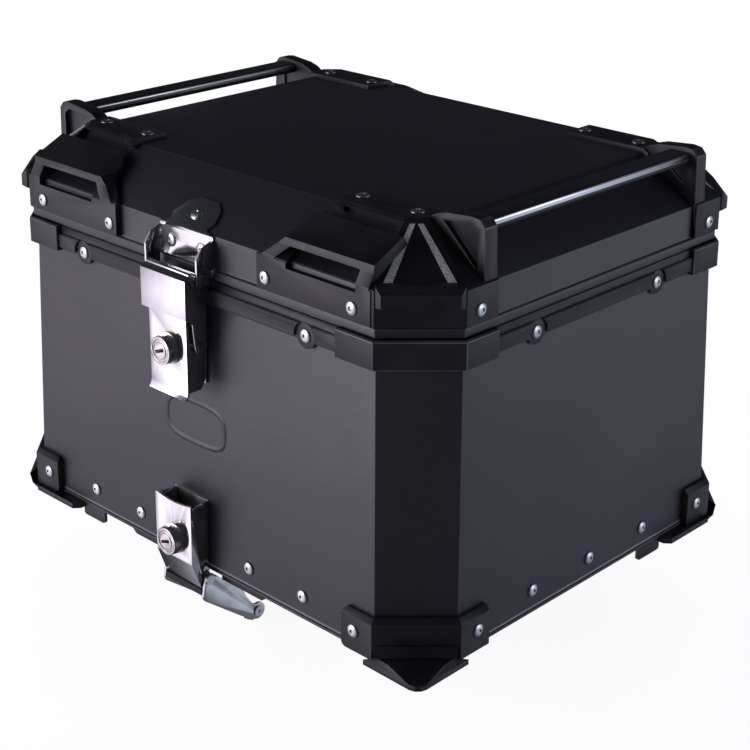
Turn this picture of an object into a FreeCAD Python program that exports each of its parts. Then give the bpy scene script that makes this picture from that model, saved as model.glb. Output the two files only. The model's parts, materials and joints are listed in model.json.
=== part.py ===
import FreeCAD, Part

import math
import os

V = FreeCAD.Vector

# Motorcycle top case. Millimetres, +Z up, latches on the -Y face, hinges on +Y.
# Origin: centre of the four rack bolts, on the underside of the floor plate.

# ---- driving dimensions -------------------------------------------------
HALF_W = 215.0          # half width of the lower shell at its foot (X)
HALF_D = 175.0          # half depth of the lower shell at its foot (Y)
CORNER = 37.5           # width and depth of the corner chamfers
DRAFT = 0.025           # inward lean of the walls, mm per mm of height
SHEET = 1.5             # thickness of the aluminium sheet
PLATE = 2.0             # thickness of the floor plate
WALL_TOP = 213.0        # upper edge of the lower shell
GAP = 0.1               # seat clearance between riveted pieces
RIVET_R = 4.8           # rivet head radius
RIVET_H = 1.6           # rivet head height
RIVET_SIDES = 24        # facets round a rivet head

BOLT_X = 160.0          # rack bolt spacing across
BOLT_Y = 120.0          # rack bolt spacing along
BOLT_R = 3.25           # rack bolt hole radius

RIM_LOW = 197.6         # lower lip of the rim strips
RIM_FACE = 199.6        # lower edge of the raised face of the strips
RIM_HIGH = 209.5        # upper edge of the raised face
RIM_TOP = 215.0         # upper edge of the thin upstand
RIM_W = 210.4           # inner face of the side strips
RIM_D = 170.4           # inner face of the front and rear strips
RIM_THIN = 1.2
RIM_THICK = 3.5
RIM_END_X = 142.5       # where a corner piece starts on the front and rear
RIM_END_Y = 105.0       # where a corner piece starts on the sides
RIM_RIVET_X = 114.0
RIM_RIVET_Y = 65.0
RIM_RIVET_Z = 201.4
BOSS_R = 8.5

LID_LOW = 216.7         # lower edge of the lid's ridge
LID_RIDGE = 223.0       # upper edge of the ridge
LID_BAND = 246.0        # edge between the upright band and the slope
LID_TOP = 276.0
LID_W = 210.5
LID_D = 170.5
LID_TOP_W = 166.0
LID_TOP_D = 128.0
LID_TOP_CORNER = 6.0
RIDGE_OUT = 1.8

HINGE_Y = 180.0
HINGE_Z = 213.5
HINGE_X = 44.5          # centre of each hinge
PIN_R = 2.5
FIT = 0.05              # radial running clearance

LEVER_HALF = 19.0       # half width of a latch lever
UP_FACE = -190.6        # front plane of the upper lever
UP_PIVOT = (-180.0, 186.0)
UP_LINK = (-180.5, 170.0)
UP_LOCK_Z = 166.0
KEEPER_PIN = (-181.0, 218.5)
LOW_FACE = -192.0       # front plane of the lower lever
LOW_PIVOT = (-184.0, 46.0)
LOW_LINK = (-179.0, -5.5)
LOW_LOCK_Z = 24.0
LOW_EYE = (-134.5, -49.0)
LOCK_R = 10.4           # lock barrel
PLUG_R = 7.8            # turning key plug

RAIL_IN = 188.0
RAIL_OUT = 206.0
RAIL_LOW = 275.5
RAIL_HIGH = 283.5
FIN_NEAR = 105.6        # inner face of a rail bracket
FIN_FAR = 117.0         # outer face of a rail bracket

PARTS = {}


# ---- helpers -----------------------------------------------------------
def half_w(z):
    return HALF_W - DRAFT * z


def half_d(z):
    return HALF_D - DRAFT * z


def box(x0, x1, y0, y1, z0, z1):
    return Part.makeBox(x1 - x0, y1 - y0, z1 - z0, V(x0, y0, z0))


def octagon(a, b, c, z):
    """Rectangle of half sizes a and b with its corners cut by c."""
    pts = [(a, c - b), (a, b - c), (a - c, b), (c - a, b), (-a, b - c), (-a, c - b), (c - a, -b), (a - c, -b)]
    pts = [V(x, y, z) for x, y in pts]
    return Part.makePolygon(pts + pts[:1])


def frustum(low, high):
    """Straight-sided solid between two octagons, each (a, b, c, z)."""
    return Part.makeLoft([octagon(*low), octagon(*high)], True, True)


def column(a, b, c, z0, z1):
    return frustum((a, b, c, z0), (a, b, c, z1))


def grown(c, t):
    """Corner cut of an octagon whose sides all move outwards by t."""
    return c + t * (2.0 - math.sqrt(2.0))


def prism_x(pts, x0, x1):
    """Extrude an outline of (y, z) points along X."""
    wire = Part.makePolygon([V(x0, y, z) for y, z in pts + pts[:1]])
    return Part.Face(wire).extrude(V(x1 - x0, 0, 0))


def prism_y(pts, y0, y1):
    """Extrude an outline of (x, z) points along Y."""
    wire = Part.makePolygon([V(x, y0, z) for x, z in pts + pts[:1]])
    return Part.Face(wire).extrude(V(0, y1 - y0, 0))


def prism_z(pts, z0, z1):
    """Extrude an outline of (x, y) points along Z."""
    wire = Part.makePolygon([V(x, y, z0) for x, y in pts + pts[:1]])
    return Part.Face(wire).extrude(V(0, 0, z1 - z0))


def rod(r, start, end):
    a = V(*start)
    d = V(*end) - a
    return Part.makeCylinder(r, d.Length, a, d)


def rod_x(r, yz, x0, x1):
    return rod(r, (x0, yz[0], yz[1]), (x1, yz[0], yz[1]))


def join(shapes):
    out = shapes[0]
    if len(shapes) > 1:
        out = out.fuse(shapes[1:])
    return out.removeSplitter()


def flip(shape, *normals):
    for n in normals:
        shape = shape.mirror(V(0, 0, 0), n)
    return shape


X_DIR = V(1, 0, 0)
Y_DIR = V(0, 1, 0)
CORNERS = (("fr", ()), ("fl", (X_DIR,)), ("br", (Y_DIR,)), ("bl", (X_DIR, Y_DIR)))


def four(shape):
    """The shape at the front-right corner and its three mirror images."""
    return [flip(shape, *normals) for _, normals in CORNERS]


def rounded(shape, radius, pick):
    """Fillet the edges that pick() accepts; keep the sharp shape if that fails."""
    edges = [e for e in shape.Edges if pick(e)]
    try:
        out = shape.makeFillet(radius, edges)
        return out if out.isValid() else shape
    except Exception:
        return shape


def edge_along(direction, tolerance=0.999):
    def pick(edge):
        if len(edge.Vertexes) != 2:
            return False
        d = edge.Vertexes[1].Point - edge.Vertexes[0].Point
        return d.Length > 0 and abs(d.normalize().dot(direction)) > tolerance
    return pick


def ring_stack(rings):
    """Ruled solid through level rings of RIVET_SIDES corners, each (radius, height)."""
    turns = [2 * math.pi * k / RIVET_SIDES for k in range(RIVET_SIDES)]
    wires = []
    for r, z in rings:
        pts = [V(r * math.cos(t), r * math.sin(t), z) for t in turns]
        wires.append(Part.makePolygon(pts + pts[:1]))
    return Part.makeLoft(wires, True, True)


def rivet(at, normal):
    """Domed blind rivet head in flat facets, with the dimple that the mandrel leaves."""
    rings = [(RIVET_R, 0.0), (RIVET_R, 0.45), (0.72 * RIVET_R, 0.8 * RIVET_H), (1.6, RIVET_H)]
    head = ring_stack(rings).cut(ring_stack([(1.2, RIVET_H - 0.7), (1.2, RIVET_H + 1)]))
    head.Placement = FreeCAD.Placement(V(*at), FreeCAD.Rotation(V(0, 0, 1), V(*normal)))
    return head


def keep(name, shape):
    """Store one node: a solid, or a list of separate solids."""
    if isinstance(shape, list):
        shape = Part.makeCompound(shape)
    PARTS[name] = shape


# ---- lower shell -------------------------------------------------------
def rack_bolt_holes(z0, z1):
    spots = [(x, y) for x in (-BOLT_X / 2, BOLT_X / 2) for y in (-BOLT_Y / 2, BOLT_Y / 2)]
    return [rod(BOLT_R, (x, y, z0), (x, y, z1)) for x, y in spots]


def body_shell():
    outer = frustum((half_w(PLATE), half_d(PLATE), CORNER, PLATE), (half_w(WALL_TOP), half_d(WALL_TOP), CORNER, WALL_TOP))
    floor = PLATE + SHEET
    c = grown(CORNER, -SHEET)
    top = WALL_TOP + 2
    inner = frustum((half_w(floor) - SHEET, half_d(floor) - SHEET, c, floor), (half_w(top) - SHEET, half_d(top) - SHEET, c, top))
    return outer.cut([inner] + rack_bolt_holes(-1, 10))


def floor_plate():
    out = 0.6
    plate = column(HALF_W + out, HALF_D + out, grown(CORNER, out), 0, PLATE - 0.02)
    return plate.cut(rack_bolt_holes(-1, 10))


def floor_mat():
    z = PLATE + SHEET + 0.05
    inset = SHEET + 1.0
    mat = column(half_w(z) - inset, half_d(z) - inset, grown(CORNER, -inset), z, z + 3.0)
    return mat.cut(rack_bolt_holes(-1, 10))


def gasket():
    z0, z1 = WALL_TOP + 0.05, WALL_TOP + 3.2
    a, b = half_w(WALL_TOP), half_d(WALL_TOP)
    outer = column(a + 0.55, b + 0.55, grown(CORNER, 0.55), z0, z1)
    inner = column(a - 3.4, b - 3.4, grown(CORNER, -3.4), z0 - 1, z1 + 1)
    return outer.cut(inner)


# ---- rim ---------------------------------------------------------------
def rim_strip(length, offset, rivet_at):
    """A strip along X whose inner face is at y = -offset."""
    half = length / 2 - 0.2
    thin = box(-half, half, -offset - RIM_THIN, -offset, RIM_LOW, RIM_TOP)
    thick = box(-half, half, -offset - RIM_THICK, -offset - RIM_THIN, RIM_FACE, RIM_HIGH)
    thick = thick.cut(box(-half - 1, half + 1, -offset - RIM_THICK - 1, -offset - RIM_THICK + 0.6, RIM_HIGH - 0.6, RIM_HIGH + 1))
    bosses = []
    for x in (-rivet_at, rivet_at):
        thick = thick.cut(rod(BOSS_R + 0.8, (x, -offset - 9, RIM_RIVET_Z), (x, -offset - RIM_THIN, RIM_RIVET_Z)))
        bosses.append(rod(BOSS_R, (x, -offset - 1.9, RIM_RIVET_Z), (x, -offset, RIM_RIVET_Z)))
    return join([thin, thick] + bosses)


def rim_corner():
    """The overlapping plastic corner of the rim, front right."""
    a, b = RIM_W, RIM_D
    proud = 5.0
    low, high, edge = RIM_LOW - 1.2, RIM_TOP + 0.8, 1.0
    outer = column(a + proud, b + proud, grown(CORNER, proud), low, high - edge)
    c = grown(CORNER, proud - edge)
    bevel = frustum((a + proud, b + proud, grown(CORNER, proud), high - edge), (a + proud - edge, b + proud - edge, c, high))
    inner = column(a, b, CORNER, low - 1, high + 1)
    ring = outer.fuse(bevel).cut(inner)
    piece = ring.common(box(RIM_END_X, 240, -200, -RIM_END_Y, low - 1, high + 1))
    return piece.removeSplitter()


# ---- guards at the foot ------------------------------------------------
def guard_ears():
    """The part of a foot guard that both kinds share: a bevelled wrap round the corner."""
    out = 5.0
    a, b, c = HALF_W + out, HALF_D + out, grown(CORNER, out)
    face_top, top = 25.0, 28.4
    body = column(a, b, c, 0.1, face_top)
    bevel = frustum((a, b, c, face_top), (a - 3.2, b - 3.2, grown(CORNER, out - 3.2), top))
    ears = body.fuse(bevel).cut([guard_wall(), guard_plate()])
    ears = ears.common(box(152.5, 240, -200, -112.0, 0, 40))
    return rounded(ears, 4.0, lambda e: edge_along(Y_DIR)(e) and e.BoundBox.XMax < 153 and e.Length > 2)


def guard_wall():
    """The space of the shell's wall behind a foot guard."""
    return frustum((HALF_W + GAP, HALF_D + GAP, CORNER, PLATE), (half_w(40) + GAP, half_d(40) + GAP, CORNER, 40))


def guard_plate():
    """The space of the floor plate behind a foot guard."""
    return column(HALF_W + 0.75, HALF_D + 0.75, grown(CORNER, 0.75), -1, PLATE)


def loft_between(low, z_low, high, z_high):
    wires = []
    for pts, z in ((low, z_low), (high, z_high)):
        pts = [V(x, y, z) for x, y in pts]
        wires.append(Part.makePolygon(pts + pts[:1]))
    return Part.makeLoft(wires, True, True)


def guard_flare(low_out, z_low):
    """Ledge that flares out of the chamfer face, from z 10.7 to 5.8 and back in to z_low."""
    top = [(181.6, -180.0), (220.0, -141.6), (190.0, -141.6)]
    mid = [(186.0, -182.8), (222.8, -146.0), (190.0, -146.0)]
    low = [(182.0 - low_out, -183.6), (224.0, -141.6 + low_out), (190.0, -141.6)]
    upper = loft_between(mid, 5.8, top, 10.7)
    lower = loft_between(low, z_low, mid, 5.8)
    return upper.fuse(lower).cut([guard_wall(), guard_plate()])


def toe_guard():
    """Foot guard with a flat three-sided toe that fills the rectangular corner."""
    rim = [(176.0, -183.8), (216.5, -184.4), (220.5, -183.2), (223.2, -180.5), (224.4, -176.5), (224.0, -136.5)]
    crown = [(184.5, -180.5), (196.0, -181.5), (207.0, -172.5), (211.8, -168.0), (221.0, -157.0), (220.5, -145.5)]
    under = [(180.0, -178.5), (214.0, -180.5), (217.0, -179.0), (219.5, -176.5), (220.5, -173.5), (219.0, -140.0)]
    toe = prism_z(rim, -2.6, 1.0)
    top = loft_between(rim, 1.0, crown, 4.6).cut([guard_wall(), guard_plate()])
    sole = loft_between(under, -4.6, rim, -2.6)
    toe = toe.cut(column(HALF_W + 0.75, HALF_D + 0.75, grown(CORNER, 0.75), -0.02, 3))
    return join([guard_ears(), guard_flare(4.0, 0.3).common(box(0, 300, -300, 0, 0.1, 20)), toe, top, sole])


def arm_guard():
    """Foot guard with two arms under the wall, each with a tab that locates the rack plate."""
    out = [(174.0, -183.6), (182.0, -183.6), (224.0, -141.6), (224.0, -133.0), (196.0, -133.0), (174.0, -160.0)]
    inn = [(174.0, -181.0), (179.0, -181.0), (221.4, -138.6), (221.4, -133.0), (196.0, -133.0), (174.0, -160.0)]
    foot = loft_between(inn, -4.5, out, -0.4)
    arm_front = prism_z([(176, -183.2), (131.5, -183.2), (127.5, -178.5), (127.5, -158), (176, -158)], -4.5, -0.4)
    arm_side = prism_z([(198, -136), (223.4, -136), (223.4, -89.0), (218.5, -85.0), (198, -85.0)], -4.5, -0.4)
    web_front = box(103.5, 142, -174.5, -160, -3.2, -0.05)
    web_side = box(198, 214.5, -100, -60, -3.2, -0.05)
    tab_front = box(103.5, 128.5, -174.5, -172.0, -10.5, -0.05)
    tab_side = box(212.0, 214.5, -86, -60, -10.5, -0.05)
    tab_front = rounded(tab_front, 2.4, lambda e: edge_along(Y_DIR)(e) and e.BoundBox.ZMax < -10)
    tab_side = rounded(tab_side, 2.4, lambda e: edge_along(X_DIR)(e) and e.BoundBox.ZMax < -10)
    plug = prism_z(out, -0.42, 0.12).cut(guard_plate())
    return join([guard_ears(), guard_flare(0.0, 0.05), plug, foot, arm_front, arm_side, web_front, web_side, tab_front, tab_side])


def front_pads():
    """Two black pads under the front edge, one each side of the lower latch."""
    pad = box(27, 74, -172.5, -150, -6.0, -0.05)
    pad = pad.cut(prism_y([(74.1, -6.1), (68, -6.1), (74.1, -1.5)], -180, -140))
    return [pad, flip(pad, X_DIR)]


def rack_hooks():
    """Two steel hooks under the rear of the floor that slide onto the rack plate."""
    outline = [(120, -0.05), (150, -0.05), (150, -2.05), (141, -2.05), (141, -9.0), (158, -9.0), (158, -11.0), (139, -11.0), (139, -2.05), (120, -2.05)]
    hook = prism_x(outline, 55, 85)
    return [hook, flip(hook, X_DIR)]


# ---- lid ---------------------------------------------------------------
def lid_solid(t):
    """The lid's outer form moved outwards by t (inwards when negative)."""
    a, b, c = LID_W + t, LID_D + t, grown(CORNER, t)
    ta, tb, tc = LID_TOP_W + 0.55 * t, LID_TOP_D + 0.55 * t, max(LID_TOP_CORNER + t, 1.0)
    band_top = LID_BAND + 0.42 * t
    band = column(a, b, c, LID_RIDGE - 8, band_top)
    slope = frustum((a, b, c, band_top), (ta, tb, tc, LID_TOP + t))
    return band.fuse(slope).removeSplitter()


def lid_shell():
    body = lid_solid(0).cut(box(-300, 300, -300, 300, 150, LID_LOW))
    ridge = column(LID_W + RIDGE_OUT, LID_D + RIDGE_OUT, grown(CORNER, RIDGE_OUT), LID_LOW, LID_RIDGE - 0.8)
    roll = frustum((LID_W + RIDGE_OUT, LID_D + RIDGE_OUT, grown(CORNER, RIDGE_OUT), LID_RIDGE - 0.8), (LID_W, LID_D, CORNER, LID_RIDGE + 0.6))
    inner = lid_solid(-SHEET).fuse(column(LID_W - SHEET, LID_D - SHEET, grown(CORNER, -SHEET), LID_LOW - 2, LID_BAND - 6))
    return join([body, ridge, roll]).cut(inner)


SLOPE_RUN = LID_D - LID_TOP_D
SLOPE_RISE = LID_TOP - LID_BAND
SLOPE_LEN = math.hypot(SLOPE_RUN, SLOPE_RISE)


def on_slope(s, h):
    """(y, z) at distance s up the front slope and height h above it."""
    along = (SLOPE_RUN / SLOPE_LEN, SLOPE_RISE / SLOPE_LEN)
    up = (-along[1], along[0])
    return (-LID_D + along[0] * s + up[0] * h, LID_BAND + along[1] * s + up[1] * h)


def wing_region():
    """Plan area of the front-right guard: wing, corner, side ear and top flange."""
    front = [(72, -200), (72, -172), (89, -160), (96, -146), (101, -134), (101, -104), (172, -104), (172, -200)]
    corner = [(150, -200), (150, -108), (163, -108), (170, -117.2), (240, -117.2), (240, -200)]
    side = [(209.5, -125), (209.5, -105.6), (240, -105.6), (240, -125)]
    return join([prism_z(p, 200, 300) for p in (front, corner, side)])


def guard_skin(t):
    """Moulded skin t thick over the lid, thicker on the front than on the sides."""
    outer = lid_solid(t)
    core = lid_solid(GAP)
    low = box(-300, 300, -300, 300, 150, LID_RIDGE + 0.9)
    return outer.cut([core, low])


def tie_bridge():
    """Raised bar over the front slope, on a ramp at its left end and a cheek at its right."""
    bar = [on_slope(8.5, 6.6), on_slope(6.2, 8.6), on_slope(9.5, 12.2), on_slope(37, 7.6)]
    bar += [on_slope(37, 4.6), on_slope(12.0, 8.4)]
    span = prism_x(bar, 93, 171)
    left_cut = prism_z([(90, -176), (90, -120), (104, -120), (96, -150), (93.5, -176)], 200, 300)
    cheek = [(-174.8, 246.0), (-174.8, 248.5), on_slope(6.2, 8.6), on_slope(9.5, 12.2)]
    cheek += [on_slope(37, 7.2), on_slope(37, 0.15), on_slope(3.0, 0.15)]
    ramp_side = [(77, 245), (77, 248), (94, 261.8), (94, 275), (106, 275), (106, 265), (99, 257), (89, 248), (89, 245)]
    ramp = prism_x(cheek, 77, 106).common(prism_y(ramp_side, -180, -120))
    ramp = ramp.common(wing_region())
    return join([span.cut(left_cut), ramp, prism_x(cheek, 160.0, 171.0)])


def strap_slot():
    """Opening under the tie bridge: from the band, under the bar, out above it."""
    mouth = [(-180, 243.0), (-180, 251.5), on_slope(4.0, 4.4), on_slope(46, 4.4), on_slope(46, 0.2), on_slope(1.0, 0.2), (-170.7, 243.0)]
    under = prism_x(mouth, 99.0, 160.0)
    upper = prism_x([on_slope(37.2, 0.2), on_slope(37.2, 14), on_slope(49, 14), on_slope(49, 0.2)], 110, 160.0)
    return [under, upper]


def corner_beak():
    """Overhanging lip across the lid's corner, built on the chamfer's own axes."""
    flat = (LID_W + LID_D - CORNER) / math.sqrt(2.0)
    outline = [(-6.0, 235.5), (3.6, 236.6), (9.6, 238.2), (9.6, 246.6), (6.4, 249.4), (4.6, 251.2), (-8, 251.2)]
    half = 27.0
    pts = [V(flat + u, 0, z) for u, z in outline]
    face = Part.Face(Part.makePolygon(pts + pts[:1]))
    face.translate(V(0, -half, 0))
    lip = face.extrude(V(0, 2 * half, 0))
    for side in (1, -1):
        wedge = prism_z([(flat + 3.2, side * 32), (flat + 3.2, side * 28.6), (flat + 10.5, side * 23.4), (flat + 10.5, side * 32)], 200, 260)
        lip = lip.cut(wedge)
    lip.rotate(V(0, 0, 0), V(0, 0, 1), -45)
    mid_x = LID_W - CORNER / 2
    mid_y = -(LID_D - CORNER / 2)
    shift = (mid_x + mid_y) / 2
    lip.translate(V(shift, shift, 0))
    return lip


def facet_frame(t):
    """Foot centre, directions and rise of the three-sided facet on a skin t thick."""
    a, b, c = LID_W + t, LID_D + t, grown(CORNER, t)
    ta, tb, tc = LID_TOP_W + 0.55 * t, LID_TOP_D + 0.55 * t, LID_TOP_CORNER + t
    low = LID_BAND + 0.42 * t
    foot_a = V(a - c, -b, low)
    foot_b = V(a, c - b, low)
    head = V(ta - tc / 2, tc / 2 - tb, LID_TOP + t)
    across = (foot_b - foot_a).normalize()
    foot = (foot_a + foot_b) * 0.5
    up = head - foot
    rise = up.Length
    up.normalize()
    n = across.cross(up).normalize()
    if n.z < 0:
        n = n * -1.0
    return foot, across, up, n, rise


def reflector_strips():
    """The two retro-reflective strips on each corner facet, in a V."""
    foot, across, up, n, rise = facet_frame(3.6)
    strips = []
    for side in (-1, 1):
        low = foot + across * (side * 22.5) + up * 4.0
        high = foot + across * (side * 4.2) + up * (rise - 5.0)
        wide = across * (-side * 5.4)
        pts = [low, low + wide, high + wide * 0.62, high]
        face = Part.Face(Part.makePolygon([p + n * 0.04 for p in pts + pts[:1]]))
        strips.append(face.extrude(n * 0.6))
    return strips


def lid_guard():
    """Moulded guard on the front-right corner of the lid."""
    skin = guard_skin(3.6).common(wing_region())
    front_band = box(72, 176.5, -174.9, -170.6, LID_RIDGE + 0.9, 247.0)
    front_band = front_band.cut(prism_z([(172.4, -169), (172.4, -174.95), (176.6, -174.95), (181, -169)], 200, 300))
    slots = strap_slot()
    shape = join([skin, front_band, corner_beak().cut(lid_solid(GAP))])
    shape = shape.cut(slots)
    bridge = tie_bridge().cut(lid_solid(GAP)).cut(strap_slot()[0])
    shape = join([shape, bridge])
    shape = shape.cut(fin_block(0.1))
    pieces = sorted(shape.Solids, key=lambda piece: piece.Volume)
    return pieces[-1]


def fin_block(spare):
    """A rail bracket before its recesses, with spare room on its two flat faces."""
    outline = [(167.0, 279.4), (172.0, 282.4), (180.0, 284.8), (201, 286.8), (207.5, 286.0)]
    outline += [(211.6, 281.4), (213.2, 232.0), (212.6, LID_RIDGE + 1.0)]
    outline += [(LID_W + 0.12, LID_RIDGE + 1.0), (LID_W + 0.12, LID_BAND + 0.2), (168.0, 275.1)]
    return prism_y(outline, -FIN_FAR - spare, -FIN_NEAR + spare)


def rail_fin():
    """Bracket that carries a rail: recessed plate with a raised rim and a strut."""
    plate = fin_block(0.0)
    recess = [(178, 279.5), (201, 281.2), (205.6, 277.5), (205.6, 253.5)]
    plate = plate.cut(prism_y(recess, -FIN_FAR - 1, -FIN_FAR + 4.5))
    window = [(184, 275.0), (199, 276.6), (201.0, 274.6), (201.0, 261.5)]
    return plate.cut(prism_y(window, -FIN_NEAR - 2.2, -FIN_NEAR + 1))


def rail():
    bar = box(RAIL_IN, RAIL_OUT, -FIN_NEAR + 0.05, FIN_NEAR - 0.05, RAIL_LOW, RAIL_HIGH)
    return rounded(bar, 2.6, edge_along(Y_DIR))


# ---- keeper on the lid ----------------------------------------------------
def keeper_bracket():
    half, thick = 26.8, 1.5
    back = -LID_D - 0.1
    upright = box(-half, half, back - thick, back, LID_RIDGE + 1.0, LID_BAND + 0.6)
    d = on_slope(0, thick)
    tab_pts = [(-18, 2), (-21, 8), (-15, 20), (-8, 24.5), (10, 24.5), (17, 19), (21, 8), (18, 2)]
    tab_pts = [(-half, -1.5)] + tab_pts + [(half, -1.5)]
    low = [V(x, *on_slope(s, 0.12)) for x, s in tab_pts]
    face = Part.Face(Part.makePolygon(low + low[:1]))
    up = V(0, *on_slope(0, 1)) - V(0, *on_slope(0, 0))
    tab = face.extrude(up * thick)
    ear = [(back - thick + 0.2, 243.5), (-181.5, 240.0), (-186.3, 233.0), (-186.3, 215.5), (-184.0, 213.0), (-176.0, 213.0), (-174.2, 216.0), (-174.2, 223.6), (back - thick + 0.2, 224.0)]
    ears = [prism_x(ear, half - thick, half), prism_x(ear, -half, -half + thick)]
    shape = join([upright, tab] + ears).cut(lid_solid(0.08))
    return shape.cut(rod_x(PIN_R + 0.0, KEEPER_PIN, -40, 40))


def keeper_pin():
    bar = rod_x(PIN_R, KEEPER_PIN, -27.4, 27.4)
    head = rod_x(PIN_R + 0.9, KEEPER_PIN, 26.85, 28.0)
    return join([bar, head, flip(head, X_DIR)])


# ---- latches ----------------------------------------------------------
def latch_ear(pivot, back, low, high):
    y, z = pivot
    pts = [(back, low), (back, high), (y + 2, z + 5.6), (y - 4.0, z + 4.6), (y - 5.6, z), (y - 4.0, z - 4.6), (y + 2, z - 6.5)]
    return pts


def latch_base(pivot, z_low, z_high, ear_low, ear_high, half):
    """Plate riveted to the front wall, with two ears for the lever's pivots."""
    thick = 1.5
    lean = [(-half_d(z_low) - 0.1, z_low), (-half_d(z_high) - 0.1, z_high), (-half_d(z_high) - 0.1 - thick, z_high), (-half_d(z_low) - 0.1 - thick, z_low)]
    plate = prism_x(lean, -half, half)
    ear = latch_ear(pivot, -half_d(pivot[1]) - 0.6, ear_low, ear_high)
    ears = [prism_x(ear, half - 1.6, half), prism_x(ear, -half, -half + 1.6)]
    shape = join([plate] + ears)
    return shape.cut(rod_x(PIN_R + FIT, pivot, -40, 40))


def stub_pins(r, yz, inner, outer, head):
    """A pair of headed pins, one at each side of a latch."""
    pin = join([rod_x(r, yz, inner, outer), rod_x(r + 1.1, yz, outer, outer + head)])
    return [pin, flip(pin, X_DIR)]


def plate_run(pts, thick):
    """Outline of a bent strip: (y, z) points on its front, thick towards +Y."""
    back = [(y + thick, z) for y, z in reversed(pts)]
    return pts + back


def upper_lever():
    face, t = UP_FACE, 1.6
    low, high = 136.0, 192.3
    plate = prism_x(plate_run([(face, low + 3), (face, high)], t), -LEVER_HALF, LEVER_HALF)
    foot = prism_x(plate_run([(face - 2.4, low - 2.5), (face - 0.6, low), (face, low + 3)], t), -LEVER_HALF, LEVER_HALF)
    y, z = UP_PIVOT
    side = [(face + 0.2, low + 2), (face + 0.2, high), (y - 3, z + 6.6), (y + 3.5, z + 6.6), (y + 6.5, z + 3), (y + 6.8, z - 6), (-174.6, 178), (-174.6, low + 9), (-179, low + 2)]
    sides = [prism_x(side, LEVER_HALF - 1.5, LEVER_HALF), prism_x(side, -LEVER_HALF, -LEVER_HALF + 1.5)]
    shape = join([plate, foot] + sides)
    shape = shape.cut(rod(LOCK_R - 1.0, (0, face - 3, UP_LOCK_Z), (0, face + 3, UP_LOCK_Z)))
    shape = shape.cut(rod_x(PIN_R + FIT, UP_PIVOT, -40, 40))
    return shape.cut(rod_x(PIN_R + FIT, UP_LINK, -40, 40))


def upper_hook():
    """Claw over the keeper pin: cap plate, side cheeks and a rolled lip."""
    half, t = 22.8, 1.6
    face = UP_FACE - 1.4 - t
    low, high = 191.8, 219.4
    plate = prism_x(plate_run([(face, low), (face, high)], t), -half, half)
    y, z = UP_LINK
    cheek = [(face + 0.2, low), (face + 0.2, high), (-187.6, 221.2), (-185.4, 219.6), (-185.4, 212.0), (-177.0, 212.0), (-175.9, 206), (-175.9, 188), (-175.9, z + 1)]
    cheek += [(y + 3.0, z - 4.4), (y - 1.0, z - 5.2), (y - 4.4, z - 3.4), (y - 5.6, z + 1), (-188.0, 188)]
    cheeks = [prism_x(cheek, half - 1.5, half), prism_x(cheek, -half, -half + 1.5)]
    lip = prism_x([(face, high - 0.2), (-189.6, 222.0), (-188.6, 221.0), (face + t, high - 0.2)], -half, half)
    roll = rod_x(1.9, (-187.6, 221.8), -half + 1.0, half - 1.0)
    shape = join([plate, lip, roll] + cheeks)
    return shape.cut(rod_x(PIN_R + FIT, UP_LINK, -40, 40))


def lock_barrel(face, z):
    """Lock housing: collar in front of the lever, sleeve behind it, open bore."""
    collar = Part.makeCone(LOCK_R + 0.6, LOCK_R - 0.4, 7.4, V(0, face - 0.02, z), V(0, -1, 0))
    sleeve = rod(LOCK_R - 1.1, (0, face - 0.5, z), (0, face + 11.5, z))
    bore = rod(PLUG_R + FIT, (0, face - 9, z), (0, face + 9.5, z))
    return join([collar, sleeve]).cut(bore)


def lock_plug(face, z):
    """Key plug: turns in the barrel; the slot takes the key."""
    plug = rod(PLUG_R, (0, face - 7.1, z), (0, face + 9.0, z))
    rim = rod(PLUG_R - 1.6, (0, face - 7.7, z), (0, face - 7.0, z))
    slot = box(-1.0, 1.0, face - 9, face - 3.0, z - 4.4, z + 4.4)
    slot.rotate(V(0, face, z), V(0, 1, 0), 70)
    return join([plug, rim]).cut(slot)


def lower_lever():
    face, t = LOW_FACE, 1.6
    bend, high = 9.5, 54.0
    knee = (face + 8.4, -13.2)
    front = plate_run([(face + 8.4, -13.2), (face, bend), (face, high)], t)
    plate = prism_x(front, -LEVER_HALF, LEVER_HALF)
    dip = rod(78.0, (0, face - 5, high + 76.2), (0, face + 5, high + 76.2))
    plate = plate.cut(dip)
    y, z = LOW_PIVOT
    side = [(face + 0.4, bend), (face + 0.4, 50.0), (y - 2.0, z + 7.0), (y + 3.5, z + 6.4), (y + 7.0, z + 3), (y + 7.2, z - 4), (-176.9, 30), (-176.9, 2.5)]
    side += [(LOW_LINK[0] + 3.2, -2.2), (LOW_LINK[0] + 3.4, -7.4), (LOW_LINK[0] + 0.5, -9.6), (knee[0] + 0.6, knee[1] + 0.4)]
    sides = [prism_x(side, LEVER_HALF - 1.5, LEVER_HALF), prism_x(side, -LEVER_HALF, -LEVER_HALF + 1.5)]
    shape = join([plate] + sides)
    shape = shape.cut(rod(LOCK_R - 1.0, (0, face - 3, LOW_LOCK_Z), (0, face + 3, LOW_LOCK_Z)))
    shape = shape.cut(rod_x(PIN_R + FIT, LOW_PIVOT, -40, 40))
    return shape.cut(rod_x(PIN_R + FIT, LOW_LINK, -40, 40))


def finger_lip():
    """Rubber lip pressed over the lower edge of the lever."""
    y, z = LOW_FACE + 8.4, -13.2
    pts = [(y - 1.6, z + 0.9), (y - 2.0, z - 2.2), (y + 0.2, z - 5.0), (y + 3.4, z - 5.0), (y + 3.6, z - 0.6), (y + 1.7, z - 0.05), (y - 0.05, z - 0.05), (y - 0.45, z + 1.2)]
    return prism_x(pts, -LEVER_HALF - 0.6, LEVER_HALF + 0.6)


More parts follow.
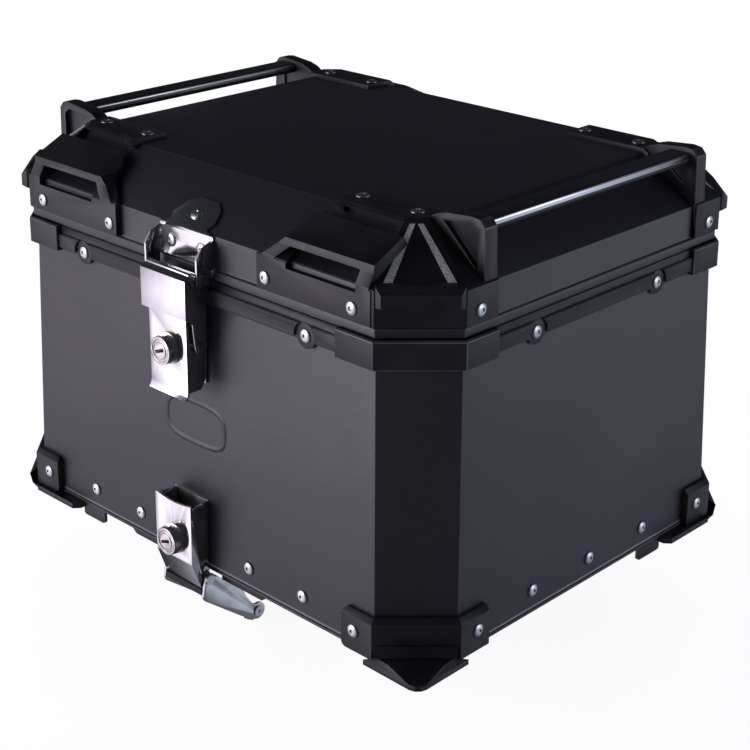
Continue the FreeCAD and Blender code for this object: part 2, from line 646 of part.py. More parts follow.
def rack_hook_arms():
    """Side plates of the swinging hook that grips the rack plate."""
    y, z = LOW_LINK
    ey, ez = LOW_EYE
    pts = [(y - 4.6, z - 2.6), (y - 3.6, z + 3.0), (y, z + 4.4), (y + 3.6, z + 3.2), (-148.8, -25.6), (-145.6, -32.6), (ey - 4.5, ez + 7.0), (ey + 2, ez + 5), (ey + 2, ez - 5)]
    pts += [(ey - 6.0, ez - 5.6), (-183.6, -21.0), (-185.2, -17.4)]
    inner, outer = LEVER_HALF + 0.9, LEVER_HALF + 2.9
    arm = join([prism_x(pts, inner, outer), rod_x(6.4, LOW_EYE, inner, outer)])
    arm = arm.cut([rod_x(PIN_R + FIT, LOW_LINK, -40, 40), rod_x(PIN_R, LOW_EYE, -40, 40)])
    web = [(ey - 12.5, ez - 1.5), (ey - 7.0, ez - 5.6), (ey - 6.0, ez - 4.2), (ey - 11.5, ez - 0.1)]
    bridge = prism_x(web, -inner - 0.3, inner + 0.3)
    return join([arm, flip(arm, X_DIR), bridge])


def hook_crossbar():
    half = LEVER_HALF + 2.9
    bar = rod_x(PIN_R, LOW_EYE, -half - 0.4, half + 0.4)
    ring = rod_x(3.8, LOW_EYE, half + 0.02, half + 1.0)
    ring = ring.cut(rod_x(1.4, LOW_EYE, half + 0.3, half + 2))
    return join([bar, ring, flip(ring, X_DIR)])


# ---- hinges -----------------------------------------------------------
def knuckle(x0, x1):
    axis = (HINGE_Y, HINGE_Z)
    return rod_x(4.5, axis, x0, x1)


def hinge_body_leaf(xc):
    low = [(half_d(165) + 0.1, 165), (half_d(165) + 1.7, 165), (half_d(187) + 1.7, 187)]
    pts = low + [(177.6, 193.6), (177.6, 211), (175.9, 211), (175.9, 194.4), (half_d(188) + 0.1, 188.8)]
    leaf = prism_x(pts, xc - 25, xc + 25)
    tongue = box(xc - 10, xc + 10, 175.9, 177.6, 205, 213)
    side_cut = [box(xc - 26, xc - 10, 170, 190, 207, 220), box(xc + 10, xc + 26, 170, 190, 207, 220)]
    shape = join([leaf.cut(side_cut), tongue, knuckle(xc - 10, xc + 10)])
    return shape.cut(rod_x(PIN_R, (HINGE_Y, HINGE_Z), xc - 40, xc + 40))


def hinge_lid_leaf(xc):
    back = LID_D + 0.1
    pts = [(back, 226.5), (back, 243), (back + 1.6, 243), (back + 1.6, 230.5), (183.6, 218.4), (180.4, 216.8), (back + 1.6, 225.2)]
    leaf = prism_x(pts, xc - 25, xc + 25)
    gap = box(xc - 10.4, xc + 10.4, 173.5, 190, 205, 226)
    ends = [knuckle(xc - 25, xc - 10.4), knuckle(xc + 10.4, xc + 25)]
    shape = join([leaf.cut(gap)] + ends)
    return shape.cut(rod_x(PIN_R + FIT, (HINGE_Y, HINGE_Z), xc - 40, xc + 40))


def hinge_pin(xc):
    axis = (HINGE_Y, HINGE_Z)
    return join([rod_x(PIN_R, axis, xc - 25.4, xc + 25.4), rod_x(3.6, axis, xc + 25.4, xc + 26.6), rod_x(3.6, axis, xc - 26.6, xc - 25.4)])


# ---- rivets -----------------------------------------------------------
def case_rivets_front():
    """Rivets on the case's front face: foot row, two foot guards and the rim strip."""
    z = 15.8
    out = [rivet((x, -half_d(z) - 0.15, z), (0, -1, 0)) for x in (-111.2, -58.3, 58.3, 111.2)]
    for side in (-1, 1):
        out.append(rivet((side * 163.4, -HALF_D - 5.02, 14.5), (0, -1, 0)))
        out.append(rivet((side * RIM_RIVET_X, -RIM_D - 1.92, RIM_RIVET_Z), (0, -1, 0)))
    return out


def case_rivets_right():
    """Rivets on the case's right face, in the same three groups."""
    z = 15.8
    out = [rivet((half_w(z) + 0.15, y, z), (1, 0, 0)) for y in (-61.7, 0, 61.7)]
    for side in (-1, 1):
        out.append(rivet((HALF_W + 5.02, side * 123.3, 14.5), (1, 0, 0)))
        out.append(rivet((RIM_W + 1.92, side * RIM_RIVET_Y, RIM_RIVET_Z), (1, 0, 0)))
    return out


def lid_rivets_right():
    """Rivets of the two right-hand lid guards: front or rear band, side ear, top flange."""
    z = 232.0
    y = 174.92
    top = LID_TOP + 3.62
    out = [rivet((79.5, -y, z), (0, -1, 0)), rivet((157.0, -y, z), (0, -1, 0))]
    out.append(rivet((LID_W + 3.62, -121.8, z), (1, 0, 0)))
    out += [rivet((108.2, -115.4, top), (0, 0, 1)), rivet((155.5, -115.4, top), (0, 0, 1))]
    return out + [flip(r, Y_DIR) for r in out]


def keeper_rivets():
    y, z = on_slope(11.5, 1.65)
    up = (0, -SLOPE_RISE / SLOPE_LEN, SLOPE_RUN / SLOPE_LEN)
    back = -LID_D - 1.63
    return [rivet((0, y, z), up), rivet((-15.5, back, 234.5), (0, -1, 0)), rivet((15.5, back, 234.5), (0, -1, 0))]


def hinge_rivets(lid):
    out = []
    for xc in (-HINGE_X, HINGE_X):
        for dx in (-16, 16):
            if lid:
                out.append(rivet((xc + dx, LID_D + 1.72, 236.5), (0, 1, 0)))
            else:
                out.append(rivet((xc + dx, half_d(176) + 1.88, 176), (0, 1, 0)))
    return out


# ---- the assembly ------------------------------------------------------
def build():
    keep("body_shell", body_shell())
    keep("floor_plate", floor_plate())
    keep("floor_mat", floor_mat())
    keep("rim_gasket", gasket())
    front = rim_strip(2 * RIM_END_X, RIM_D, RIM_RIVET_X)
    keep("rim_strip_front", front)
    keep("rim_strip_rear", flip(front, Y_DIR))
    side = rim_strip(2 * RIM_END_Y, RIM_W, RIM_RIVET_Y)
    side.rotate(V(0, 0, 0), V(0, 0, 1), 90)
    keep("rim_strip_right", side)
    keep("rim_strip_left", flip(side, X_DIR))
    for name, normals in CORNERS:
        keep("rim_corner_" + name, flip(rim_corner(), *normals))
        guard = toe_guard() if name in ("fr", "bl") else arm_guard()
        keep("base_guard_" + name, flip(guard, *normals))
        keep("lid_guard_" + name, flip(lid_guard(), *normals))
        keep("rail_fin_" + name, flip(rail_fin(), *normals))
    keep("case_rivets_front", case_rivets_front())
    keep("case_rivets_rear", [flip(r, Y_DIR) for r in case_rivets_front()])
    keep("case_rivets_right", case_rivets_right())
    keep("case_rivets_left", [flip(r, X_DIR) for r in case_rivets_right()])
    keep("front_pads", front_pads())
    keep("rack_hooks", rack_hooks())
    keep("hinge_leaves_body", [hinge_body_leaf(-HINGE_X), hinge_body_leaf(HINGE_X)])
    keep("hinge_pins", [hinge_pin(-HINGE_X), hinge_pin(HINGE_X)])
    keep("hinge_rivets_body", hinge_rivets(False))
    keep("hinge_leaves_lid", [hinge_lid_leaf(-HINGE_X), hinge_lid_leaf(HINGE_X)])
    keep("hinge_rivets_lid", hinge_rivets(True))
    keep("lid_shell", lid_shell())
    keep("rail_right", rail())
    keep("rail_left", flip(rail(), X_DIR))
    keep("lid_rivets_right", lid_rivets_right())
    keep("lid_rivets_left", [flip(r, X_DIR) for r in lid_rivets_right()])
    strips = []
    for strip in reflector_strips():
        strips += four(strip.cut(lid_guard()))
    keep("reflectors", strips)
    keep("keeper_bracket", keeper_bracket())
    keep("keeper_pin", keeper_pin())
    keep("keeper_rivets", keeper_rivets())
    keep("upper_latch_base", latch_base(UP_PIVOT, 140, 196, 178, 193, LEVER_HALF - 1.8))
    keep("upper_pivot_pins", stub_pins(PIN_R, UP_PIVOT, 13.0, LEVER_HALF + 0.1, 0.9))
    keep("upper_lever", upper_lever())
    keep("upper_link_pins", stub_pins(PIN_R, UP_LINK, 15.0, 22.9, 0.9))
    keep("upper_hook", upper_hook())
    keep("upper_lock_barrel", lock_barrel(UP_FACE, UP_LOCK_Z))
    keep("upper_lock_plug", lock_plug(UP_FACE, UP_LOCK_Z))
    keep("lower_latch_base", latch_base(LOW_PIVOT, 4, 53, 38, 53, LEVER_HALF - 1.8))
    keep("lower_pivot_pins", stub_pins(PIN_R, LOW_PIVOT, 13.0, LEVER_HALF + 0.1, 0.9))
    keep("lower_lever", lower_lever())
    keep("finger_lip", finger_lip())
    keep("lower_link_pins", stub_pins(PIN_R, LOW_LINK, 15.0, LEVER_HALF + 3.0, 0.9))
    keep("rack_hook", rack_hook_arms())
    keep("hook_crossbar", hook_crossbar())
    keep("lower_lock_barrel", lock_barrel(LOW_FACE, LOW_LOCK_Z))
    keep("lower_lock_plug", lock_plug(LOW_FACE, LOW_LOCK_Z))


def write():
    os.makedirs("parts", exist_ok=True)
    for name, shape in PARTS.items():
        solids = len(shape.Solids)
        ok = all(s.isValid() and s.Volume > 0 for s in shape.Solids)
        print("%-20s solids %2d  volume %9.1f  %s" % (name, solids, shape.Volume, "ok" if ok else "BAD"))
        shape.exportStep("parts/%s.step" % name)
    print(len(PARTS), "nodes")


build()
write()
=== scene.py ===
# %% [markdown]
# # A hard motorcycle top case
# The case comes in as a finished engineering model: every sheet, guard, latch and rivet group is
# already a separate part that rides on the body it moves with. What is left is the way it looks:
# soft edges that catch light, turned rivets, a pressed badge blank, and a finish for each material.
# Everything here is in metres, in the frame of the engineering model, so no piece needs fitting.

# %% Load the model and keep its box
import bmesh
import bpy
import json
import math
import numpy as np
from mathutils import Matrix, Vector


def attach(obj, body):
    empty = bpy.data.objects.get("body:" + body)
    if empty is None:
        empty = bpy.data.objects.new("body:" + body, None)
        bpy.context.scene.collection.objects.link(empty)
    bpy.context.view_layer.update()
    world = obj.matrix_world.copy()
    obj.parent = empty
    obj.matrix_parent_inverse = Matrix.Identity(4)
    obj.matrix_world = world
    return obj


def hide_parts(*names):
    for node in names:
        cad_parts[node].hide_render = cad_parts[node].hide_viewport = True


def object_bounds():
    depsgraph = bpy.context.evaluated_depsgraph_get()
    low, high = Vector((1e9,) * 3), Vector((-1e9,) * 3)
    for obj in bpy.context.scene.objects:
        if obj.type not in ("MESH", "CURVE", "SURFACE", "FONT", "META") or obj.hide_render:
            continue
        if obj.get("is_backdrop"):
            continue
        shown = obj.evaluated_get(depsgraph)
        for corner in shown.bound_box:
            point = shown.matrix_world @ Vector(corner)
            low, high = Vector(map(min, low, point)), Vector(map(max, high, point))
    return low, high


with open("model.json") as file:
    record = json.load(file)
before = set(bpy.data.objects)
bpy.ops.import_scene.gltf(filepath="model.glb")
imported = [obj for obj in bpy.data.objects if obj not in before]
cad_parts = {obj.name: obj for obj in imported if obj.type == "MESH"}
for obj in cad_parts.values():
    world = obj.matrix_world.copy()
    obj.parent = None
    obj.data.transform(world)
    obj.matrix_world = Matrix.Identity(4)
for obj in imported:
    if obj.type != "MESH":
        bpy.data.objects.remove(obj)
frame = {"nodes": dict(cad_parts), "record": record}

MM = 0.001
cad_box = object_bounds()
print("nodes", len(frame["nodes"]), "box", [[round(v, 4) for v in corner] for corner in cad_box])

# %% [markdown]
# ## The camera
# Goods are usually shown through a long lens from a little above, so upright edges stay nearly
# parallel. A tracking constraint could aim the lens, but three angles and a point say exactly where
# it looks from and can be read off at a glance. A small vertical shift moves the case up in the
# frame without tilting the lens.

# %% Place the camera
AZIMUTH, ELEVATION, ROLL = math.radians(43.926), math.radians(19.251), math.radians(0.299)
LENS_PLACE = (0.8279, -0.8513, 0.5941)


def looking_from(azimuth, elevation, roll):
    """Camera axes as matrix columns: right, up, and back from the case to the lens."""
    flat = math.cos(elevation)
    back = Vector((math.sin(azimuth) * flat, -math.cos(azimuth) * flat, math.sin(elevation)))
    right = (-back).cross(Vector((0, 0, 1))).normalized()
    up = right.cross(-back)
    across = right * math.cos(roll) + up * math.sin(roll)
    upright = up * math.cos(roll) - right * math.sin(roll)
    return Matrix((across, upright, back)).transposed()


lens = bpy.data.cameras.new("studio_lens")
lens.lens = 81.3
lens.sensor_width = 36.0
lens.shift_y = -0.15
camera = bpy.data.objects.new("studio_camera", lens)
camera.matrix_world = looking_from(AZIMUTH, ELEVATION, ROLL).to_4x4()
camera.location = LENS_PLACE
bpy.context.scene.collection.objects.link(camera)
bpy.context.scene.camera = camera
print("camera at", [round(v, 3) for v in camera.location])

# %% [markdown]
# ## Surfaces from formulas
# Most small parts on the case are turned or rolled, so each is a grid of points: one parameter runs
# round, the other along a profile. Numpy computes all points at once. A box or cylinder could be
# scaled into place, but it would have hard edges and no dimple, lip or groove.


# %% Grid and mesh helpers
def grid_faces(rows, cols, wrap):
    """Quads of a rows x cols point grid; wrap joins the last column to the first."""
    last = cols if wrap else cols - 1
    r, c = np.meshgrid(np.arange(rows - 1), np.arange(last), indexing="ij")
    r, c = r.ravel(), c.ravel()
    nxt = (c + 1) % cols
    return np.stack([r * cols + c, r * cols + nxt, (r + 1) * cols + nxt, (r + 1) * cols + c], axis=1)


def new_piece(name, points, faces, material, body):
    """A mesh object in world place: merged, faces outward, smooth, riding on a body."""
    mesh = bpy.data.meshes.new(name)
    mesh.from_pydata(points.tolist(), [], faces.tolist())
    work = bmesh.new()
    work.from_mesh(mesh)
    bmesh.ops.remove_doubles(work, verts=work.verts, dist=1e-6)
    bmesh.ops.recalc_face_normals(work, faces=work.faces)
    work.to_mesh(mesh)
    work.free()
    mesh.polygons.foreach_set("use_smooth", np.ones(len(mesh.polygons), dtype=bool))
    mesh.materials.append(material)
    piece = bpy.data.objects.new(name, mesh)
    bpy.context.scene.collection.objects.link(piece)
    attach(piece, body)
    return piece


body_of = {node: body for body, nodes in frame["record"]["behaviour"]["bodies"].items() for node in nodes}

# %% [markdown]
# ## Shader arithmetic
# A finish is easier to read as a formula than as a list of links. One small class wraps a socket, so
# plus, minus and times between two sockets add the Math nodes. Every other node comes from one
# method, which sets the node's options first and then its inputs.


# %% Node helpers
def feed(tree, place, value):
    """Link a wrapped socket to an input, or set the input's own value."""
    if isinstance(value, Wire):
        tree.links.new(value.socket, place)
    else:
        place.default_value = value


class Wire:
    """A value in a node tree; Python arithmetic on it adds Math nodes."""

    def __init__(self, tree, socket):
        self.tree = tree
        self.socket = socket

    def math(self, operation, *others, first=None):
        node = self.tree.nodes.new("ShaderNodeMath")
        node.operation = operation
        values = (self,) + others if first is None else (first, self)
        for place, value in zip(node.inputs, values):
            feed(self.tree, place, value)
        return Wire(self.tree, node.outputs[0])

    def __add__(self, other):
        return self.math("ADD", other)

    def __sub__(self, other):
        return self.math("SUBTRACT", other)

    def __rsub__(self, other):
        return self.math("SUBTRACT", first=other)

    def __mul__(self, other):
        return self.math("MULTIPLY", other)

    __radd__ = __add__
    __rmul__ = __mul__

    def between(self, low, high):
        """0 at low, 1 at high, straight between, held outside."""
        return ((self - low) * (1.0 / (high - low))).math("MAXIMUM", 0.0).math("MINIMUM", 1.0)


class Finish:
    """A material under construction, with its principled shader and object coordinates."""

    def __init__(self, name, **plain):
        self.material = bpy.data.materials.new(name)
        self.material.use_nodes = True
        self.tree = self.material.node_tree
        self.shader = next(n for n in self.tree.nodes if n.type == "BSDF_PRINCIPLED")
        self.place = self.make("ShaderNodeTexCoord", {}, {}, "Object")
        for key, value in plain.items():
            self.shader.inputs[key.replace("_", " ")].default_value = value

    def make(self, kind, settings, inputs, out):
        node = self.tree.nodes.new(kind)
        for key, value in settings.items():
            setattr(node, key, value)
        for key, value in inputs.items():
            feed(self.tree, node.inputs[key], value)
        return Wire(self.tree, node.outputs[out])

    def noise(self, scale, detail=2.0, place=None):
        spot = self.place if place is None else place
        return self.make("ShaderNodeTexNoise", {}, {"Vector": spot, "Scale": scale, "Detail": detail}, 0)

    def stretched(self, x, y, z):
        """Object coordinates scaled per axis, for drawn or brushed grain."""
        return self.make("ShaderNodeMapping", {}, {"Vector": self.place, "Scale": (x, y, z)}, 0)

    def axis(self, letter):
        return self.make("ShaderNodeSeparateXYZ", {}, {0: self.place}, letter)

    def mix(self, amount, low, high):
        return self.make("ShaderNodeMix", {"data_type": "RGBA"}, {0: amount, 6: low, 7: high}, 2)

    def set(self, key, value):
        feed(self.tree, self.shader.inputs[key], value)

    def bump(self, height, strength, distance):
        inputs = {"Height": height, "Strength": strength, "Distance": distance}
        self.set("Normal", self.make("ShaderNodeBump", {}, inputs, "Normal"))


# %% [markdown]
# ## Powder coat
# The sheet metal is powder coated: a baked film with a fine sandy texture, nearly black with a blue
# cast, a little glossier where it has been handled. A flat dark grey would look like plastic. Three
# sizes of noise give the sandy grain, the slow ripple of the film and faint rubbed areas, and the
# bottom hem gets a paler band about 3 to 4 mm up. A lighter copy of the coat goes on the bevel faces
# as a painted edge highlight.


# %% Powder coat, its paler hem band and its lighter edge copy
FOLD_STARTS, FOLD_ENDS = (2.6 * MM, 3.0 * MM), (4.0 * MM, 4.5 * MM)


def powder_coat(name, dark, light, hem):
    f = Finish(name)
    grain = f.noise(1700.0, 2.0)
    ripple = f.noise(260.0, 3.0)
    rubbed = f.noise(9.0, 4.0).between(0.45, 0.75)
    tone = f.mix((grain * 0.6 + ripple * 0.4).between(0.3, 0.7), dark, light)
    if hem:
        height = f.axis("Z")
        # A paler band along the bottom hem, about 3 to 4 mm up.
        fold = height.between(*FOLD_STARTS) * (1.0 - height.between(*FOLD_ENDS))
        tone = f.mix(fold * 0.75, tone, (0.22, 0.22, 0.24, 1))
    f.set("Base Color", tone)
    f.set("Roughness", 0.44 + grain * 0.08 - rubbed * 0.07)
    f.shader.inputs["Specular IOR Level"].default_value = 0.85
    f.bump(grain * 0.7 + ripple * 0.6, 0.45, 0.40 * MM)
    return f.material


SHELL = powder_coat("powder_coat_case", (0.010, 0.009, 0.016, 1), (0.017, 0.016, 0.026, 1), True)
# A lighter copy of the coat for the bevel faces: a painted highlight along folds and edges.
SHELL_EDGE_HIGHLIGHT = powder_coat("powder_coat_painted_highlight", (0.018, 0.018, 0.024, 1), (0.035, 0.035, 0.043, 1), False)
BRACKET = powder_coat("powder_coat_bracket", (0.012, 0.012, 0.014, 1), (0.022, 0.022, 0.026, 1), False)
print("made", SHELL.name, SHELL_EDGE_HIGHLIGHT.name, BRACKET.name)

# %% [markdown]
# ## Moulded guards
# Guards, rim strips and rail brackets are injection moulded in black plastic with an etched grain.
# Their bevels are painted lighter and glossier than the flats, a painted highlight along every edge.
# The bevel tool can give its new faces a second material, which puts this painted highlight exactly
# on the edges.


# %% Moulded plastic, flats and edges with a painted highlight
def moulded(name, dark, light, rough, grain_depth):
    f = Finish(name)
    etch = f.make("ShaderNodeTexVoronoi", {}, {"Vector": f.place, "Scale": 1500.0}, "Distance")
    cloud = f.noise(38.0, 3.0)
    scuff = f.noise(150.0, 5.0, f.stretched(1.0, 1.0, 0.25)).between(0.62, 0.72)
    f.set("Base Color", f.mix(cloud.between(0.35, 0.7), dark, light))
    f.set("Roughness", rough + cloud * 0.10 - scuff * 0.06)
    f.bump(etch + scuff * 0.3, grain_depth, 0.25 * MM)
    return f.material


PLASTIC = moulded("guard_plastic", (0.008, 0.008, 0.010, 1), (0.014, 0.014, 0.016, 1), 0.40, 0.30)
# The edge plastic is painted much lighter than the flats: a painted highlight on the bevels.
PLASTIC_EDGE_HIGHLIGHT = moulded("guard_plastic_painted_highlight", (0.045, 0.045, 0.050, 1), (0.10, 0.10, 0.108, 1), 0.26, 0.10)
print("made", PLASTIC.name, PLASTIC_EDGE_HIGHLIGHT.name)

# %% [markdown]
# ## Bright metal
# The latches are polished stainless plates, so they mirror the studio with a slight haze and a few
# fingerprints. Brackets and pins are satin, with drawn lines along the sheet. Rivets are soft
# aluminium with small dents from the riveting tool, and the locks are nickel plated.


# %% Polished, satin, rivet and nickel metal
def bright_metal(name, tint, shade, rough, haze, line, depth):
    f = Finish(name, Metallic=1.0)
    smear = f.noise(55.0, 4.0)
    drawn = f.noise(1.0, 3.0, f.stretched(*line))
    f.set("Base Color", f.mix(smear.between(0.35, 0.7), tint, shade))
    f.set("Roughness", rough + smear.between(0.45, 0.75) * haze + drawn * haze * 0.5)
    f.bump(drawn, depth, 0.05 * MM)
    return f.material


POLISHED = bright_metal("polished_stainless", (0.82, 0.81, 0.79, 1), (0.70, 0.69, 0.67, 1),
                        0.10, 0.12, (900.0, 900.0, 40.0), 0.05)
SATIN = bright_metal("satin_stainless", (0.62, 0.61, 0.60, 1), (0.50, 0.50, 0.50, 1),
                     0.28, 0.14, (1400.0, 1400.0, 60.0), 0.12)
RIVET = bright_metal("rivet_aluminium", (0.80, 0.80, 0.81, 1), (0.58, 0.58, 0.60, 1),
                     0.22, 0.18, (500.0, 500.0, 500.0), 0.20)
NICKEL = bright_metal("nickel_lock", (0.70, 0.67, 0.63, 1), (0.50, 0.48, 0.46, 1),
                      0.18, 0.14, (700.0, 700.0, 700.0), 0.10)
print("made", POLISHED.name, SATIN.name, RIVET.name, NICKEL.name)

# %% [markdown]
# ## Rails, strips, rubber
# A rail is extruded aluminium, painted black. A band of bright metal is painted along its flank at
# one height: a painted highlight where the rounded rail catches the light. The reflective strips are
# glass-bead film printed with a fine mesh. Rubber and the ribbed mat are dull and take dust.


# %% Rail, reflective film, rubber, mat
# Heights of the painted highlight band on the rail's flank.
HIGHLIGHT_BAND_STARTS, HIGHLIGHT_BAND_ENDS = (279.0 * MM, 279.3 * MM), (282.4 * MM, 282.7 * MM)


def rail_finish():
    f = Finish("rail_black_with_painted_highlight")
    height = f.axis("Z")
    # Painted highlight: bright metal in a band at the height where the rail catches the light.
    highlight_band = height.between(*HIGHLIGHT_BAND_STARTS) * (1.0 - height.between(*HIGHLIGHT_BAND_ENDS))
    drawn = f.noise(1.0, 3.0, f.stretched(900.0, 14.0, 2400.0))
    bright = f.mix(drawn, (0.78, 0.78, 0.79, 1), (0.60, 0.60, 0.62, 1))
    f.set("Base Color", f.mix(highlight_band, (0.014, 0.014, 0.016, 1), bright))
    f.set("Metallic", highlight_band)
    f.set("Roughness", 0.36 - highlight_band * 0.16 + drawn * 0.08)
    f.bump(drawn, 0.10, 0.05 * MM)
    return f.material


def film():
    f = Finish("reflective_film", Coat_Weight=0.35, Coat_Roughness=0.12)
    spot = {"Vector": f.place, "Scale": 620.0}
    cell = f.make("ShaderNodeTexVoronoi", {"feature": "DISTANCE_TO_EDGE"}, spot, 0)
    mesh = 1.0 - cell.between(0.05, 0.14)
    shimmer = f.noise(120.0, 2.0)
    beads = f.mix(shimmer, (0.62, 0.63, 0.66, 1), (0.80, 0.81, 0.84, 1))
    f.set("Base Color", f.mix(mesh, beads, (0.34, 0.34, 0.36, 1)))
    f.set("Roughness", 0.30 + shimmer * 0.15)
    f.bump(mesh, 0.25, 0.10 * MM)
    return f.material


def dull_rubber(name, dark, dusty, ribs):
    f = Finish(name)
    dust = f.noise(24.0, 5.0).between(0.45, 0.75)
    pores = f.noise(1300.0, 2.0)
    height = pores * 0.4
    if ribs:
        height = height + (f.axis("X") * 900.0).math("SINE") * 2.0
    f.set("Base Color", f.mix(dust, dark, dusty))
    f.set("Roughness", 0.62 + dust * 0.2 + pores * 0.05)
    f.bump(height, 0.35, 0.4 * MM)
    return f.material


RAIL = rail_finish()
FILM = film()
RUBBER = dull_rubber("seal_rubber", (0.012, 0.012, 0.012, 1), (0.028, 0.027, 0.026, 1), False)
MAT = dull_rubber("ribbed_mat", (0.014, 0.014, 0.015, 1), (0.035, 0.034, 0.033, 1), True)
print("made", RAIL.name, FILM.name, RUBBER.name, MAT.name)

# %% [markdown]
# ## Soft edges on the engineering parts
# Real edges are never knife sharp: a moulding has a radius, a folded sheet a bend, a polished plate
# a broken edge, and these thin bright lines are what makes an object look solid. The engineering
# shape is copied, its split corners are merged, flat areas are joined into whole faces, and a bevel
# rounds what is left. The copy then stands for the part and rides on the same body.

# %% Copy a part with rounded edges
EDGE_ANGLE, FLAT_ANGLE = math.radians(18.0), math.radians(0.6)
WELD = 0.02 * MM


def merged_copy(node):
    """Welded copy of a part's mesh, with flat neighbours joined into single faces."""
    work = bmesh.new()
    work.from_mesh(frame["nodes"][node].data)
    bmesh.ops.remove_doubles(work, verts=work.verts, dist=WELD)
    bmesh.ops.dissolve_limit(work, angle_limit=FLAT_ANGLE, verts=work.verts, edges=work.edges)
    bmesh.ops.recalc_face_normals(work, faces=work.faces)
    mesh = bpy.data.meshes.new(node + "_skin")
    work.to_mesh(mesh)
    work.free()
    return mesh


def soften(node, width, flat, edge, segments=2):
    """A rounded stand-in for one part; its bevel faces take the edge material, a painted highlight where
    it is lighter than the flat one.
    """
    mesh = merged_copy(node)
    mesh.polygons.foreach_set("use_smooth", np.ones(len(mesh.polygons), dtype=bool))
    mesh.materials.append(flat)
    mesh.materials.append(edge)
    piece = bpy.data.objects.new(node + "_skin", mesh)
    bpy.context.scene.collection.objects.link(piece)
    bevel = piece.modifiers.new("rounded_edges", "BEVEL")
    bevel.width = width
    bevel.segments = segments
    bevel.limit_method = "ANGLE"
    bevel.angle_limit = EDGE_ANGLE
    bevel.harden_normals = True
    bevel.material = 1
    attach(piece, body_of[node])
    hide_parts(node)
    return piece


def soften_all(start, width, flat, edge, segments=2):
    """Every part whose name starts with start."""
    names = [n for n in sorted(frame["nodes"]) if n.startswith(start) and "rivets" not in n]
    return [soften(n, width, flat, edge, segments) for n in names]


print("edge angle", round(math.degrees(EDGE_ANGLE)), "degrees")

# %% [markdown]
# ### Guards, strips and brackets
# The corner guards are thick mouldings that take the knocks, so their edges get the widest
# rounding. The rim strips and the front pads are thinner and get less. Each could be drawn afresh
# with its radii in place, but its seats on the sheet would then have to be fitted again. A bevel on
# the engineering shape keeps them, and gives the edge its own faces for the lighter plastic, a
# painted edge highlight.

# %% Round the moulded parts
guards = soften_all("base_guard", 0.8 * MM, PLASTIC, PLASTIC_EDGE_HIGHLIGHT)
guards += soften_all("lid_guard", 0.8 * MM, PLASTIC, PLASTIC_EDGE_HIGHLIGHT)
guards += soften_all("rail_fin", 0.7 * MM, PLASTIC, PLASTIC_EDGE_HIGHLIGHT)
guards += soften_all("rim_", 0.5 * MM, PLASTIC, PLASTIC_EDGE_HIGHLIGHT)
guards += soften_all("front_pads", 0.5 * MM, PLASTIC, PLASTIC_EDGE_HIGHLIGHT)
print("moulded parts", len(guards))

# %% [markdown]
# ### Shells
# The two shells are bent from sheet, which keeps a small radius along every fold, and the powder
# film rounds it a little more. A subdivision surface would round the folds too, but it would pull
# the flat walls out of true, so a bevel is used here as well. The rails are extrusions, and the die
# leaves a smaller radius on them.

# %% Round the folded shells
# Their bevel faces take the lighter coat, a painted edge highlight.
shells = [soften(name, 0.6 * MM, SHELL, SHELL_EDGE_HIGHLIGHT) for name in ("body_shell", "lid_shell")]
shells.append(soften("floor_plate", 0.3 * MM, SHELL, SHELL_EDGE_HIGHLIGHT))
for start in ("rail_right", "rail_left"):
    shells += soften_all(start, 0.4 * MM, RAIL, RAIL)
print("shells and rails", [piece.name for piece in shells])

# %% [markdown]
# ### Latches and fittings
# The latch plates are stamped and polished, so their broken edges are small and as bright as the
# faces. The latch bases and the rack hook are satin, and their bevel faces take the brighter polished
# metal as a painted edge highlight; the hinge leaves and the rack hooks take the lighter coat there
# in the same way. A painted edge line would do for a flat view, but a true bevel also catches light
# where the plate is seen end on. The rubber lip is soft, so it gets a wider radius in three steps.

# %% Round the metal fittings
fittings = []
for name in ("upper_lever", "lower_lever", "upper_hook", "keeper_bracket"):
    fittings.append(soften(name, 0.35 * MM, POLISHED, POLISHED))
# The polished metal on these satin parts' bevels is a painted edge highlight.
for name in ("rack_hook", "upper_latch_base", "lower_latch_base"):
    fittings.append(soften(name, 0.3 * MM, SATIN, POLISHED))
# Hinge leaves and rack hooks take the lighter coat on their bevels, a painted edge highlight.
for name in ("hinge_leaves_body", "hinge_leaves_lid", "rack_hooks"):
    fittings.append(soften(name, 0.3 * MM, BRACKET, SHELL_EDGE_HIGHLIGHT))
for name in ("upper_lock_barrel", "lower_lock_barrel", "upper_lock_plug", "lower_lock_plug"):
    fittings.append(soften(name, 0.25 * MM, NICKEL, NICKEL))
fittings.append(soften("finger_lip", 0.6 * MM, RUBBER, RUBBER, 3))
print("fittings", len(fittings))

# %% [markdown]
# ## Turned rivets
# A blind rivet has a low domed head with a hole where its pin snapped off. Its outline is a profile
# turned about an axis: radius and height as one list, angle as the other parameter. The engineering
# heads are plain facets, so each is replaced by a smooth one at the same centre, facing the same way.

# %% Turn a rivet head
HEAD = np.array([(0.0, 0.0), (4.8, 0.0), (4.8, 0.35), (4.62, 0.62), (4.1, 0.92), (3.4, 1.2),
                 (2.5, 1.43), (1.85, 1.53), (1.55, 1.5), (1.4, 1.32), (1.3, 0.8), (0.9, 0.62),
                 (0.45, 0.78), (0.0, 0.84)]) * MM
ROUND = 32
HEAD_REACH = 12 * MM
CASE_MIDDLE = (0.0, 0.0, 0.13)


def turned(profile, centre, axis):
    """Surface of revolution: radius and height of the profile against the angle round the axis."""
    side = np.cross(axis, [0.3, 0.5, 0.81])
    side /= np.linalg.norm(side)
    other = np.cross(axis, side)
    turn = np.linspace(0.0, 2 * np.pi, ROUND, endpoint=False)
    ring = np.cos(turn)[:, None] * side + np.sin(turn)[:, None] * other
    return centre + profile[:, :1, None] * ring[None] + profile[:, 1:, None] * axis


